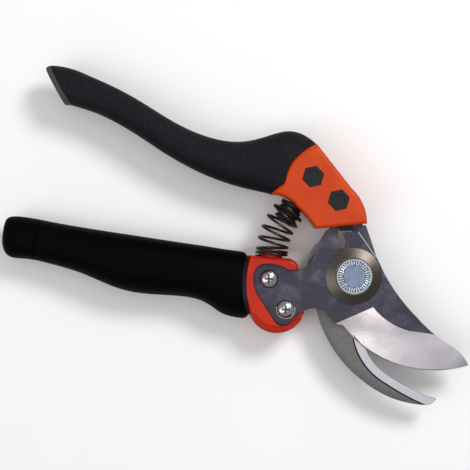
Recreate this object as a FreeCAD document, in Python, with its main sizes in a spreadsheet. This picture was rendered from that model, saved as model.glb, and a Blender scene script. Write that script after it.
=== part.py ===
"""Bypass pruner with a turning lower handle.

Millimetres.  The pivot axis is +Z through the origin, the two blades slide on each other
at Z = 0, and the cutting blade is on the +Z side.  The handles run towards -X.
"""
import FreeCAD, Part
import math
import os
import Sketcher
from FreeCAD import Placement, Rotation, Vector

# name, value, what it is
SIZES = [
    ("blade_reach", 61.6, "pivot to the cutting blade's tip"),
    ("hook_reach", 63.1, "pivot to the hook's tip"),
    ("blade_thickness", 3.2, "cutting blade plate"),
    ("hook_thickness", 3.6, "counter blade plate"),
    ("land_step", 0.6, "how far the counter blade stands back beyond its polished lands"),
    ("groove_width", 0.7, "groove beside the hook's lip"),
    ("blade_gap", 0.1, "between the two blades"),
    ("fit", 0.05, "radial clearance of a pin or screw in its hole"),
    ("seat", 0.3, "clearance of a plate in its pocket"),
    ("edge_land", 0.35, "thickness left at the cutting edge"),
    ("pivot_dia", 8.0, "pivot bolt shank"),
    ("bolt_head_dia", 15.0, "pivot bolt head"),
    ("bolt_head_height", 1.9, "pivot bolt head"),
    ("cone_dia", 23.5, "conical washer"),
    ("cone_height", 2.1, "conical washer"),
    ("pivot_nut_flats", 13.0, "pivot nut across flats"),
    ("pivot_nut_height", 5.0, "pivot nut"),
    ("spring_washer_height", 1.2, "washer under the pivot nut"),
    ("frame_depth", 17.0, "orange handle frame, front to back"),
    ("frame_round", 1.6, "rounding of the frame's edges"),
    ("core_depth", 9.0, "handle core inside the upper grip"),
    ("frame_screw_dia", 5.0, "screws through the frame and the counter blade"),
    ("frame_nut_flats", 8.0, "their nuts across flats"),
    ("frame_nut_height", 3.8, "their nuts"),
    ("frame_head_dia", 7.6, "their heads"),
    ("frame_head_height", 2.8, "their heads"),
    ("grip_depth", 18.0, "upper grip at its widest, front to back"),
    ("grip_reach", 118.0, "upper grip, from its end to the frame"),
    ("hub_front", 6.0, "hub's front face above the blade plane"),
    ("hub_back", 10.5, "hub's back face below the blade plane"),
    ("hub_round", 1.8, "rounding of the hub's edges"),
    ("hub_flank", 2.8, "sloping flank under the hub's front face"),
    ("hub_dome", 34.0, "radius of the hub's domed end"),
    ("dome_gap", 0.6, "between the dome and the turning grip"),
    ("tang_screw_dia", 4.0, "screws through the blade's tang"),
    ("tang_head_dia", 7.4, "their heads"),
    ("tang_head_height", 2.4, "their heads"),
    ("tang_dome", 5.6, "radius of their domed tops"),
    ("tang_bore_depth", 1.4, "counterbore in the tang"),
    ("tang_nut_flats", 7.0, "their nuts across flats"),
    ("tang_nut_height", 3.0, "their nuts"),
    ("spindle_dia", 6.0, "spindle of the turning grip"),
    ("spindle_drop", 3.5, "spindle axis below the blade plane"),
    ("spindle_end", 118.0, "spindle's end from the dome's centre"),
    ("collar_dia", 10.0, "spindle collar"),
    ("core_dia", 12.0, "hard core of the turning grip"),
    ("cap_start", 122.0, "end cap's joint from the dome's centre"),
    ("turning_depth", 23.0, "turning grip at its thickest, front to back"),
    ("wire_dia", 1.25, "spring wire"),
    ("coil_dia", 14.0, "spring, outside"),
    ("coil_pitch", 2.75, "spring pitch"),
    ("coil_length", 16.5, "spring length"),
    ("buffer_dia", 9.9, "rubber buffer"),
    ("buffer_length", 8.4, "rubber buffer"),
    ("peg_dia", 9.2, "peg that centres the spring"),
    ("peg_height", 3.0, "peg that centres the spring"),
    ("tongue_width", 5.6, "lock tongue"),
    ("tongue_length", 6.4, "lock tongue"),
    ("tongue_thickness", 2.8, "lock tongue"),
    ("lock_travel", 2.5, "how far the lock slides"),
    ("button_width", 7.0, "thumb button"),
    ("button_length", 4.4, "thumb button"),
    ("button_height", 6.2, "thumb button"),
]

DRAWN_BLADE_REACH = 61.6
DRAWN_HOOK_REACH = 63.1
DRAWN_GRIP_REACH = 118.0
DRAWN_DOME = 34.0
FRAME_SCREWS = [(-17.1, 41.4), (-6.5, 31.6)]
NUT_TURN = 13.0
TANG_SCREWS = [(-35.4, -1.1), (-28.3, -13.9)]
DOME_CENTRE = (-12.1, -3.4)
SPINDLE_ANGLE = 8.4
LOCK_X = -3.1
TONGUE_Y = 18.95
SLOT_END_Y = 11.0
LAND_RADIUS = 18.9
BUFFER_TILT = 27.0
OVAL_POINTS = 16
OVAL_FULLNESS = 0.8
SPRING_TILT = 21.0

doc = FreeCAD.newDocument("bypass_pruner")
sheet = doc.addObject("Spreadsheet::Sheet", "Sizes")
for row, (alias, value, meaning) in enumerate(SIZES, start=1):
    sheet.set(f"A{row}", meaning)
    sheet.set(f"B{row}", str(value))
    sheet.setAlias(f"B{row}", alias)
doc.recompute()


def size(alias):
    return float(sheet.get(alias))


# ---------------------------------------------------------------- helpers

def bind(item, prop, formula):
    """Bind a property to the sheet; a bare word in braces is a size."""
    item.setExpression(prop, formula.replace("{", "Sizes.").replace("}", ""))


def new_body(name):
    return doc.addObject("PartDesign::Body", name)


def sketch_on(body, name, height="0"):
    """A sketch on the body's XY plane, lifted to a height given as a formula."""
    plane = next(f for f in body.Origin.OriginFeatures if f.Role == "XY_Plane")
    sketch = body.newObject("Sketcher::SketchObject", name)
    sketch.AttachmentSupport = (plane, "")
    sketch.MapMode = "FlatFace"
    bind(sketch, "AttachmentOffset.Base.z", height)
    return sketch


def arc_centre(a, m, b):
    """Centre of the circle through three points."""
    d = 2 * (a[0] * (m[1] - b[1]) + m[0] * (b[1] - a[1]) + b[0] * (a[1] - m[1]))
    sa, sm, sb = (q[0] ** 2 + q[1] ** 2 for q in (a, m, b))
    x = (sa * (m[1] - b[1]) + sm * (b[1] - a[1]) + sb * (a[1] - m[1])) / d
    y = (sa * (b[0] - m[0]) + sm * (a[0] - b[0]) + sb * (m[0] - a[0])) / d
    return x, y


def draw_outline(sketch, corners):
    """A closed outline.  Each corner is (x, y) for a straight run to it, or
    (mid_x, mid_y, x, y) for an arc through the middle point to it."""
    ends = [corner[-2:] for corner in corners]
    pieces = []
    rules = []
    for index, corner in enumerate(corners):
        start = Vector(*ends[index - 1], 0)
        end = Vector(*ends[index], 0)
        if len(corner) == 2:
            piece = Part.LineSegment(start, end)
            first, last = 1, 2
        else:
            piece = Part.Arc(start, Vector(*corner[:2], 0), end)
            centre = arc_centre(ends[index - 1], corner[:2], ends[index])
            forward = ((corner[0] - start.x) * (end.y - corner[1])
                       - (corner[1] - start.y) * (end.x - corner[0])) > 0
            first, last = (1, 2) if forward else (2, 1)
            rules.append(Sketcher.Constraint("Radius", index, math.dist(centre, ends[index])))
        pieces.append((piece, first, last))
    sketch.addGeometry([piece for piece, first, last in pieces], False)
    for index, (piece, first, last) in enumerate(pieces):
        following = (index + 1) % len(pieces)
        rules.append(Sketcher.Constraint("Coincident", index, last,
                                         following, pieces[following][1]))
        rules.append(Sketcher.Constraint("DistanceX", -1, 1, index, last, ends[index][0]))
        rules.append(Sketcher.Constraint("DistanceY", -1, 1, index, last, ends[index][1]))
    sketch.addConstraint(rules)


def draw_circle(sketch, x, y, diameter):
    """A circle whose diameter is a formula."""
    index = sketch.addGeometry(Part.Circle(Vector(x, y, 0), Vector(0, 0, 1), 1.0), False)
    sketch.addConstraint([Sketcher.Constraint("DistanceX", -1, 1, index, 3, x),
                          Sketcher.Constraint("DistanceY", -1, 1, index, 3, y)])
    rule = sketch.addConstraint(Sketcher.Constraint("Diameter", index, 2.0))
    bind(sketch, f"Constraints[{rule}]", diameter)


def pad(body, name, sketch, length, downwards=False):
    feature = body.newObject("PartDesign::Pad", name)
    feature.Profile = sketch
    feature.Reversed = downwards
    bind(feature, "Length", length)
    return feature


def pocket(body, name, sketch, depth=None, upwards=False):
    """Cut down from the sketch, or through everything both ways when no depth is given."""
    doc.recompute()
    before = body.Shape.Volume
    feature = body.newObject("PartDesign::Pocket", name)
    feature.Profile = sketch
    feature.Reversed = upwards
    if depth is None:
        feature.Type = "ThroughAll"
        feature.Midplane = True
    else:
        bind(feature, "Length", depth)
    doc.recompute()
    if body.Shape.Volume >= before - 1e-3:
        raise ValueError(f"{body.Name} {name} cuts nothing")
    return feature


def round_faces(body, name, heights, radius, wanted=None, kind="Fillet"):
    """Round the outer edges that lie flat at the given heights."""
    doc.recompute()
    base = body.Tip
    chosen = []
    for number, edge in enumerate(base.Shape.Edges, start=1):
        box = edge.BoundBox
        level = any(abs(box.ZMin - h) < 1e-4 and abs(box.ZMax - h) < 1e-4 for h in heights)
        if level and edge.Length > 1.0 and (wanted is None or wanted(box.Center)):
            chosen.append(f"Edge{number}")
    feature = body.newObject(f"PartDesign::{kind}", name)
    feature.Base = (base, chosen)
    bind(feature, "Radius" if kind == "Fillet" else "Size", radius)
    doc.recompute()
    if not feature.isValid():
        raise ValueError(f"{body.Name} {name} can't be made")


def hexagon_corners(x, y, flats, turn=0.0):
    """Corners of a hexagonal seat with a little play round a nut."""
    far = (flats / 2 + 0.1) / math.cos(math.radians(30))
    angles = [math.radians(turn + 60 * step) for step in range(6)]
    return [(x + far * math.cos(angle), y + far * math.sin(angle)) for angle in angles]


def move_to(item, x, y, z, axis=(0, 0, 1), angle=0.0):
    item.Placement = Placement(Vector(x, y, 0), Rotation(Vector(*axis), angle))
    bind(item, "Placement.Base.z", z)


def disc(name, x, y, z, diameter, height):
    """An upright cylinder; z, diameter and height are formulas."""
    item = doc.addObject("Part::Cylinder", name)
    move_to(item, x, y, z)
    bind(item, "Radius", f"({diameter}) / 2")
    bind(item, "Height", height)
    return item


def cone(name, x, y, z, low, high, height):
    item = doc.addObject("Part::Cone", name)
    move_to(item, x, y, z)
    bind(item, "Radius1", f"({low}) / 2")
    bind(item, "Radius2", f"({high}) / 2")
    bind(item, "Height", height)
    return item


def hexagon(name, x, y, z, flats, height, turn=0.0):
    item = doc.addObject("Part::Prism", name)
    item.Polygon = 6
    move_to(item, x, y, z, angle=turn)
    bind(item, "Circumradius", f"({flats}) / sqrt(3)")
    bind(item, "Height", height)
    return item


def block(name, x, y, z, width, length, height):
    """A box centred on x, starting at y and z; the sizes are formulas."""
    item = doc.addObject("Part::Box", name)
    bind(item, "Placement.Base.x", f"{x} - ({width}) / 2")
    bind(item, "Placement.Base.y", y)
    bind(item, "Placement.Base.z", z)
    bind(item, "Width", length)
    bind(item, "Length", width)
    bind(item, "Height", height)
    return item


def cut(name, base, tool):
    item = doc.addObject("Part::Cut", name)
    item.Base = base
    item.Tool = tool
    return item


def fuse(name, items):
    item = doc.addObject("Part::MultiFuse", name)
    item.Shapes = items
    return item


def along_spindle(distance, across=0.0):
    """A point on the spindle's plane: distance from the dome's centre along the axis."""
    turn = math.radians(180 - SPINDLE_ANGLE)
    x = DOME_CENTRE[0] + distance * math.cos(turn) + across * math.sin(turn)
    y = DOME_CENTRE[1] + distance * math.sin(turn) - across * math.cos(turn)
    return Vector(x, y, -size("spindle_drop"))


def spindle_disc(name, start, diameter, length):
    """A cylinder on the spindle axis; start, diameter and length are formulas."""
    item = doc.addObject("Part::Cylinder", name)
    turn = math.radians(180 - SPINDLE_ANGLE)
    axis = Vector(math.cos(turn), math.sin(turn), 0)
    item.Placement = Placement(Vector(0, 0, 0), Rotation(Vector(0, 0, 1), axis))
    bind(item, "Placement.Base.x", f"{DOME_CENTRE[0]} + ({start}) * {axis.x:.8f}")
    bind(item, "Placement.Base.y", f"{DOME_CENTRE[1]} + ({start}) * {axis.y:.8f}")
    bind(item, "Placement.Base.z", "-{spindle_drop}")
    bind(item, "Radius", f"({diameter}) / 2")
    bind(item, "Height", length)
    return item


def dome_ball(name, radius):
    """A ball for the hub's dome.  The dome's end stays where it is when its radius changes."""
    ball = doc.addObject("Part::Sphere", name)
    turn = math.radians(180 - SPINDLE_ANGLE)
    shift = f"({DRAWN_DOME} - {{hub_dome}})"
    bind(ball, "Placement.Base.x", f"{DOME_CENTRE[0]} + {shift} * {math.cos(turn):.8f}")
    bind(ball, "Placement.Base.y", f"{DOME_CENTRE[1]} + {shift} * {math.sin(turn):.8f}")
    bind(ball, "Placement.Base.z", "-{spindle_drop}")
    bind(ball, "Radius", radius)
    return ball


def section(centre, turn, half, depth):
    """An oval section of a handle that heads in the direction turn, as a closed wire."""
    across = Vector(-math.sin(turn), math.cos(turn), 0)
    points = []
    for step in range(OVAL_POINTS):
        angle = 2 * math.pi * step / OVAL_POINTS
        side, up = math.cos(angle), math.sin(angle)
        side = math.copysign(abs(side) ** OVAL_FULLNESS, side)
        up = math.copysign(abs(up) ** OVAL_FULLNESS, up)
        points.append(centre + across * (half * side) + Vector(0, 0, up * depth / 2))
    curve = Part.BSplineCurve()
    curve.interpolate(points, PeriodicFlag=True)
    return Part.Wire(curve.toShape())


def loft(name, sections):
    item = doc.addObject("Part::Feature", name)
    item.Shape = Part.makeLoft(sections, True, False)
    return item


def reach(points, drawn, alias):
    """Points of a part that grows with its reach, measured from the pivot."""
    share = size(alias) / drawn
    return [tuple(value * share for value in point) for point in points]


# ---------------------------------------------------------------- outlines

TANG = [
    (-27.5, 2.5), (-31.5, 4.4, -35.5, 5.0), (-39.6, 4.0, -41.5, 0.0),
    (-41.0, -5.0, -38.7, -9.5), (-33.4, -17.9), (-30.2, -20.3, -26.0, -18.6),
    (-23.4, -15.9, -20.5, -14.4), (-18.0, -13.6, -15.2, -13.4),
]
BLADE_BACK = [(-12.0, -14.8, -9.3, -17.7), (-8.0, -19.3), (-6.6, -20.2), (-4.7, -20.4)]
BLADE_EDGE = [(-1.9, -22.6, 0.9, -26.5), (9.3, -33.0, 20.0, -37.4), (34.0, -39.6, 48.4, -37.5)]
BLADE_SPINE = [(46.0, -33.5, 41.0, -29.2), (33.0, -23.6, 26.5, -17.2), (19.0, -8.5, 13.1, 0.8)]
BLADE_TOP = [
    (10.0, 7.2), (2.2, 18.45), (-1.5, 18.54, -5.2, 17.86), (-3.3, 12.8, -7.6, 10.6),
    (-10.0, 10.9), (-13.8, 11.9), (-15.8, 9.7), (-17.2, 7.0), (-19.0, 4.4, -23.2, 2.5),
]
# the ground bevel: its inner line, and the cutting edge that it comes down to
BEVEL_LINE = [(8.4, -12.9), (15.4, -19.4, 23.4, -22.8), (34.0, -24.4, 44.5, -27.0),
              (48.0, -29.5, 51.5, -33.5)]
BEVEL_EDGE = [(-8.0, -20.0), (-2.6, -23.2, 2.6, -28.6), (18.5, -37.5, 38.0, -39.6),
              (43.6, -39.0, 49.0, -37.3)]
BEVEL_STEPS = 7
BEVEL_HEEL_STEPS = 5


def through_arcs(corners, steps):
    """Evenly spaced points along a run of arcs, each (mid_x, mid_y, x, y)."""
    points = [corners[0]]
    for corner in corners[1:]:
        arc = Part.Arc(Vector(*points[-1], 0), Vector(*corner[:2], 0), Vector(*corner[2:], 0))
        spaced = arc.toShape().discretize(steps + 1)
        if (spaced[0] - Vector(*points[-1], 0)).Length > 1e-6:
            spaced.reverse()
        points += [(point.x, point.y) for point in spaced[1:]]
    return points


def grown(points, centre, amount):
    """The same outline moved outwards from a centre."""
    result = []
    for point in points:
        values = []
        for x, y in zip(point[0::2], point[1::2]):
            away = math.hypot(x - centre[0], y - centre[1])
            values += [x + (x - centre[0]) * amount / away, y + (y - centre[1]) * amount / away]
        result.append(tuple(values))
    return result


# ---------------------------------------------------------------- cutting blade

def cutting_blade():
    body = new_body("blade_plate")
    outline = sketch_on(body, "blade_outline", "{blade_gap} / 2")
    working = reach(BLADE_EDGE + BLADE_SPINE[:-1], DRAWN_BLADE_REACH, "blade_reach")
    draw_outline(outline, TANG + BLADE_BACK + working + BLADE_SPINE[-1:] + BLADE_TOP)
    pad(body, "blade_pad", outline, "{blade_thickness}")
    hole = sketch_on(body, "blade_hole", "{blade_gap} / 2")
    draw_circle(hole, 0, 0, "{pivot_dia} + 2 * {fit}")
    for x, y in TANG_SCREWS:
        draw_circle(hole, x, y, "{tang_screw_dia} + 2 * {fit}")
    pocket(body, "blade_holes", hole)
    bores = sketch_on(body, "tang_bores", "{blade_gap} / 2 + {blade_thickness}")
    for x, y in TANG_SCREWS:
        draw_circle(bores, x, y, "{tang_head_dia} + 2 * {seat}")
    pocket(body, "tang_counterbores", bores, "{tang_bore_depth}")
    top = size("blade_gap") / 2 + size("blade_thickness")
    low = size("blade_gap") / 2 + size("edge_land")
    inner_line = through_arcs(BEVEL_LINE, BEVEL_STEPS)
    edge_line = through_arcs(BEVEL_EDGE, BEVEL_STEPS)
    rings = []
    for step, (inner, edge) in enumerate(zip(inner_line, edge_line)):
        inner, edge = reach([inner, edge], DRAWN_BLADE_REACH, "blade_reach")
        # the wheel leaves the heel thick and comes down to the edge over the first steps
        heel = max(0.0, 1.0 - step / BEVEL_HEEL_STEPS)
        inner = Vector(*inner, top)
        edge = Vector(*edge, low + heel ** 2 * (top - low) * 0.5)
        back = inner + (inner - edge) * 0.05
        out = edge + (edge - inner) * 0.15
        corners = [back, out, Vector(out.x, out.y, top + 4), Vector(back.x, back.y, top + 4)]
        rings.append(Part.makePolygon(corners + corners[:1]))
    grinding = doc.addObject("Part::Feature", "bevel_grinding")
    grinding.Shape = Part.makeLoft(rings, True, True)
    return cut("cutting_blade", body, grinding)


# ---------------------------------------------------------------- counter blade

# where the hook's bright lip ends and the groove beside it starts
LIP_LINE = [(0.4, -26.0), (4.9, -36.8, 13.9, -45.0), (22.0, -49.9, 33.0, -55.0)]
FRAME_TANG = [(-15.5, 31.0), (-22.0, 43.0), (-15.5, 48.0), (-4.5, 37.5), (2.0, 22.4)]


def counter_blade():
    body = new_body("counter_blade")
    top = "-{blade_gap} / 2"
    plate = sketch_on(body, "counter_outline", top)
    inner = reach([(7.9, -35.5, 13.1, -40.7), (22.5, -46.5, 35.1, -51.8)],
                  DRAWN_HOOK_REACH, "hook_reach")
    outer = reach([(33.1, -53.9), (31.2, -54.3), (17.9, -51.9, 4.7, -44.5)],
                  DRAWN_HOOK_REACH, "hook_reach")
    head = [
        (-6.9, -32.7, -15.2, -14.0), (-20.7, -4.8, -18.9, 4.8), (-17.6, 10.0, -13.8, 14.5),
        (-11.2, 18.9), (-9.5, 20.1), *FRAME_TANG,
        (4.2, 22.4), (4.2, 21.3), (5.6, 21.3), (10.2, 7.1), (14.6, -10.0, 5.1, -30.0),
    ]
    draw_outline(plate, inner + outer + head)
    pad(body, "counter_pad", plate, "{hook_thickness}", downwards=True)
    # the plate stands back everywhere but on the round land and along the hook's cutting lip
    low = sketch_on(body, "stand_back", top)
    turn_a, turn_b = math.radians(60), math.radians(249)
    middle = math.radians(165)
    start = (LAND_RADIUS * math.cos(turn_a), LAND_RADIUS * math.sin(turn_a))
    near = reach(LIP_LINE, DRAWN_HOOK_REACH, "hook_reach")
    draw_outline(low, [
        (LAND_RADIUS * math.cos(middle), LAND_RADIUS * math.sin(middle),
         LAND_RADIUS * math.cos(turn_b), LAND_RADIUS * math.sin(turn_b)),
        *near,
        (20.0, -75.0), (-45.0, -50.0), (-45.0, 60.0), (25.0, 60.0), start,
    ])
    pocket(body, "stand_back_cut", low, "{land_step}")
    groove = sketch_on(body, "lip_groove", top)
    side = size("groove_width") * 0.7
    far = [tuple(value - side for value in point) for point in near]
    draw_outline(groove, near + [far[2][2:], (*far[2][:2], *far[1][2:]),
                                 (*far[1][:2], *far[0])])
    pocket(body, "lip_groove_cut", groove, "{land_step} + 0.5")
    holes = sketch_on(body, "counter_holes", top)
    draw_circle(holes, 0, 0, "{pivot_dia} + 2 * {fit}")
    for x, y in FRAME_SCREWS:
        draw_circle(holes, x, y, "{frame_screw_dia} + 2 * {fit}")
    pocket(body, "counter_hole_cut", holes)
    slot = sketch_on(body, "lock_slot", top)
    half = size("tongue_width") / 2 + 0.2
    end = TONGUE_Y + size("tongue_length") + size("lock_travel") - 0.4
    draw_outline(slot, [
        (LOCK_X + half, end), (LOCK_X - half, end),
        (LOCK_X - half, SLOT_END_Y + 1.2),
        (LOCK_X, SLOT_END_Y, LOCK_X + half, SLOT_END_Y + 1.2),
    ])
    pocket(body, "lock_slot_cut", slot)
    return body


# ---------------------------------------------------------------- upper handle

# the joint between the frame and the soft grip, from the top edge to the underside
JOINT = [(-21.5, 51.8, -25.6, 47.9), (-28.6, 42.2, -29.6, 38.4), (-34.8, 34.2)]
CORE = [(-38.0, 41.5), (-52.0, 43.5), (-72.0, 51.5), (-112.0, 73.5), (-114.0, 77.5),
        (-72.0, 57.5), (-50.0, 50.0)]


def handle_frame():
    body = new_body("frame_body")
    outline = sketch_on(body, "frame_outline", "-{frame_depth} / 2")
    draw_outline(outline, JOINT + [
        (-29.0, 33.2, -23.6, 28.8), (-19.4, 24.6, -16.0, 19.8), (5.3, 21.9),
        (4.6, 27.6, -0.9, 36.5), (-15.3, 54.9),
    ])
    pad(body, "frame_pad", outline, "{frame_depth}")
    half = size("frame_depth") / 2
    round_faces(body, "frame_rounding", (-half, half), "{frame_round}")
    core = sketch_on(body, "core_outline", "-{core_depth} / 2")
    share = size("grip_reach") / DRAWN_GRIP_REACH
    draw_outline(core, [(-24 + (x + 24) * share, 48 + (y - 48) * share) for x, y in CORE]
                 + [(-24.0, 44.0), (-31.0, 37.6)])
    pad(body, "core_pad", core, "{core_depth}")
    bottom = "-{blade_gap} / 2 - {hook_thickness} - {fit}"
    slot = sketch_on(body, "tang_slot", bottom)
    draw_outline(slot, [(2.3, 22.75), (4.6, 22.75), (4.6, 15.0), (-9.9, 15.0), (-9.9, 20.6)]
                 + grown(FRAME_TANG[:-1], (-9.0, 36.0), size("seat")))
    pocket(body, "tang_slot_cut", slot, "{hook_thickness} - {land_step} + 2 * {fit}", upwards=True)
    roof = TONGUE_Y + size("tongue_length") + size("lock_travel") + 0.2
    well = size("tongue_width") / 2 + size("seat")
    tongue_well = sketch_on(body, "tongue_well", "-{blade_gap} / 2 - {land_step} - {fit}")
    draw_outline(tongue_well, [(LOCK_X - well, 15.0), (LOCK_X + well, 15.0),
                               (LOCK_X + well, roof), (LOCK_X - well, roof)])
    pocket(body, "tongue_well_cut", tongue_well,
           "{land_step} + {blade_gap} + {tongue_thickness} + 2 * {seat}", upwards=True)
    well = size("button_width") / 2 + size("seat")
    roof = TONGUE_Y + 1.0 + size("button_length") + size("lock_travel") + size("seat")
    window = sketch_on(body, "button_window", "-{frame_depth} / 2 - 1")
    draw_outline(window, [(LOCK_X - well, 15.0), (LOCK_X + well, 15.0),
                          (LOCK_X + well, roof), (LOCK_X - well, roof)])
    pocket(body, "button_window_cut", window,
           "{frame_depth} / 2 + 1 - {blade_gap} / 2 - {hook_thickness}", upwards=True)
    holes = sketch_on(body, "frame_holes")
    for x, y in FRAME_SCREWS:
        draw_circle(holes, x, y, "{frame_screw_dia} + 2 * {fit}")
    pocket(body, "frame_hole_cut", holes)
    heads = sketch_on(body, "frame_head_bores", "-{frame_depth} / 2")
    for x, y in FRAME_SCREWS:
        draw_circle(heads, x, y, "{frame_head_dia} + 2 * {seat}")
    pocket(body, "frame_head_cut", heads, "{frame_head_height} + {seat}", upwards=True)
    for number, (x, y) in enumerate(FRAME_SCREWS, start=1):
        nut_seat = sketch_on(body, f"frame_nut_seat_{number}", "{frame_depth} / 2")
        draw_outline(nut_seat, hexagon_corners(x, y, size("frame_nut_flats"), NUT_TURN))
        pocket(body, f"frame_nut_cut_{number}", nut_seat, "{frame_nut_height} + {seat}")
    socket = doc.addObject("Part::Cylinder", "buffer_socket")
    turn = math.radians(90 - BUFFER_TILT)
    axis = Vector(math.cos(turn), math.sin(turn), 0)
    socket.Placement = Placement(Vector(-28.9, 22.9, 0), Rotation(Vector(0, 0, 1), axis))
    bind(socket, "Radius", "{buffer_dia} / 2 + {fit}")
    bind(socket, "Height", "{buffer_length} + {fit}")
    return cut("upper_handle_frame", body, socket)


# centre, heading in degrees, half width across the view, and depth of each section
GRIP_STATIONS = [
    (-125.0, 79.45, 28, 8.3, 11.4), (-124.2, 80.2, 25, 9.1, 13.6), (-120.4, 79.9, 6, 8.1, 14.6),
    (-112.3, 77.2, -19, 6.95, 15.2), (-101.1, 72.6, -28, 6.3, 15.6), (-87.7, 64.8, -32, 6.2, 16.0),
    (-74.3, 56.2, -30, 6.5, 16.4), (-60.8, 50.1, -20, 7.4, 17.0), (-49.0, 47.0, -8, 8.9, 17.6),
    (-38.0, 46.6, -2, 11.3, 18.0), (-30.0, 47.0, -6, 13.9, 18.0), (-24.5, 46.0, -14, 14.7, 18.0),
    (-21.5, 42.5, -40, 14.2, 18.0),
]


def upper_grip(frame):
    share = size("grip_reach") / DRAWN_GRIP_REACH
    deep = size("grip_depth") / 18.0
    rings = []
    for x, y, turn, half, depth in GRIP_STATIONS:
        centre = Vector(-24 + (x + 24) * share, 48 + (y - 48) * share, 0)
        rings.append(section(centre, math.radians(turn), half, depth * deep))
    skin = loft("grip_skin", rings)
    body = new_body("head_room_body")
    outline = sketch_on(body, "head_room_outline", "-30")
    draw_outline(outline, JOINT + [(-34.8, 15.0), (20.0, 15.0), (20.0, 80.0), (-13.0, 80.0),
                                   (-15.3, 54.9)])
    pad(body, "head_room_pad", outline, "60")
    return cut("upper_grip", skin, fuse("grip_inside", [body, frame]))


def frame_fasteners():
    made = []
    for number, (x, y) in enumerate(FRAME_SCREWS, start=1):
        shank = disc(f"frame_shank_{number}", x, y, "-{frame_depth} / 2 + 0.2",
                     "{frame_screw_dia}", "{frame_depth} - 0.8")
        head = disc(f"frame_head_{number}", x, y, "-{frame_depth} / 2 + 0.2",
                    "{frame_head_dia}", "{frame_head_height}")
        drive = hexagon(f"frame_drive_{number}", x, y, "-{frame_depth} / 2", "3",
                        "{frame_head_height} * 0.7")
        made.append(cut(f"counter_blade_screw_{number}",
                        fuse(f"frame_screw_{number}", [shank, head]), drive))
        nut = hexagon(f"frame_hex_{number}", x, y, "{frame_depth} / 2 - {frame_nut_height} - 0.2",
                      "{frame_nut_flats}", "{frame_nut_height}", NUT_TURN)
        bore = disc(f"frame_nut_bore_{number}", x, y, "0", "{frame_screw_dia} + 2 * {fit}",
                    "{frame_depth}")
        made.append(cut(f"counter_blade_nut_{number}", nut, bore))
    return made


def spring_buffer():
    item = doc.addObject("Part::Cylinder", "buffer_stud")
    turn = math.radians(90 - BUFFER_TILT)
    axis = Vector(math.cos(turn), math.sin(turn), 0)
    item.Placement = Placement(Vector(-28.9, 22.9, 0), Rotation(Vector(0, 0, 1), axis))
    bind(item, "Radius", "{buffer_dia} / 2")
    bind(item, "Height", "{buffer_length}")
    doc.recompute()
    rounded = doc.addObject("Part::Fillet", "spring_buffer")
    rounded.Base = item
    low = min(range(len(item.Shape.Edges)),
              key=lambda k: item.Shape.Edges[k].BoundBox.Center.y
              if isinstance(item.Shape.Edges[k].Curve, Part.Circle) else 1e9)
    rounded.Edges = [(low + 1, 2.2, 2.2)]
    return rounded


def return_spring():
    helix = doc.addObject("Part::Helix", "spring_path")
    turn = math.radians(90 - SPRING_TILT)
    axis = Vector(math.cos(turn), math.sin(turn), 0)
    helix.Placement = Placement(Vector(-33.7, 11.7, 0), Rotation(Vector(0, 0, 1), axis))
    bind(helix, "Pitch", "{coil_pitch}")
    bind(helix, "Height", "{coil_length} - {wire_dia}")
    bind(helix, "Radius", "({coil_dia} - {wire_dia}) / 2")
    doc.recompute()
    start = helix.Shape.Edges[0].Vertexes[0].Point
    along = helix.Shape.Edges[0].tangentAt(helix.Shape.Edges[0].FirstParameter)
    # twelve sides, because a mesh of a round wire this thin loses too much of its volume
    wire = doc.addObject("Part::RegularPolygon", "spring_wire")
    wire.Polygon = 12
    bind(wire, "Circumradius", "{wire_dia} / 2")
    wire.Placement = Placement(start, Rotation(Vector(0, 0, 1), along))
    spring = doc.addObject("Part::Sweep", "return_spring")
    spring.Sections = [wire]
    spring.Spine = (helix, ["Edge1"])
    spring.Solid = True
    spring.Frenet = True
    return spring


# ---------------------------------------------------------------- pivot

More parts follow.
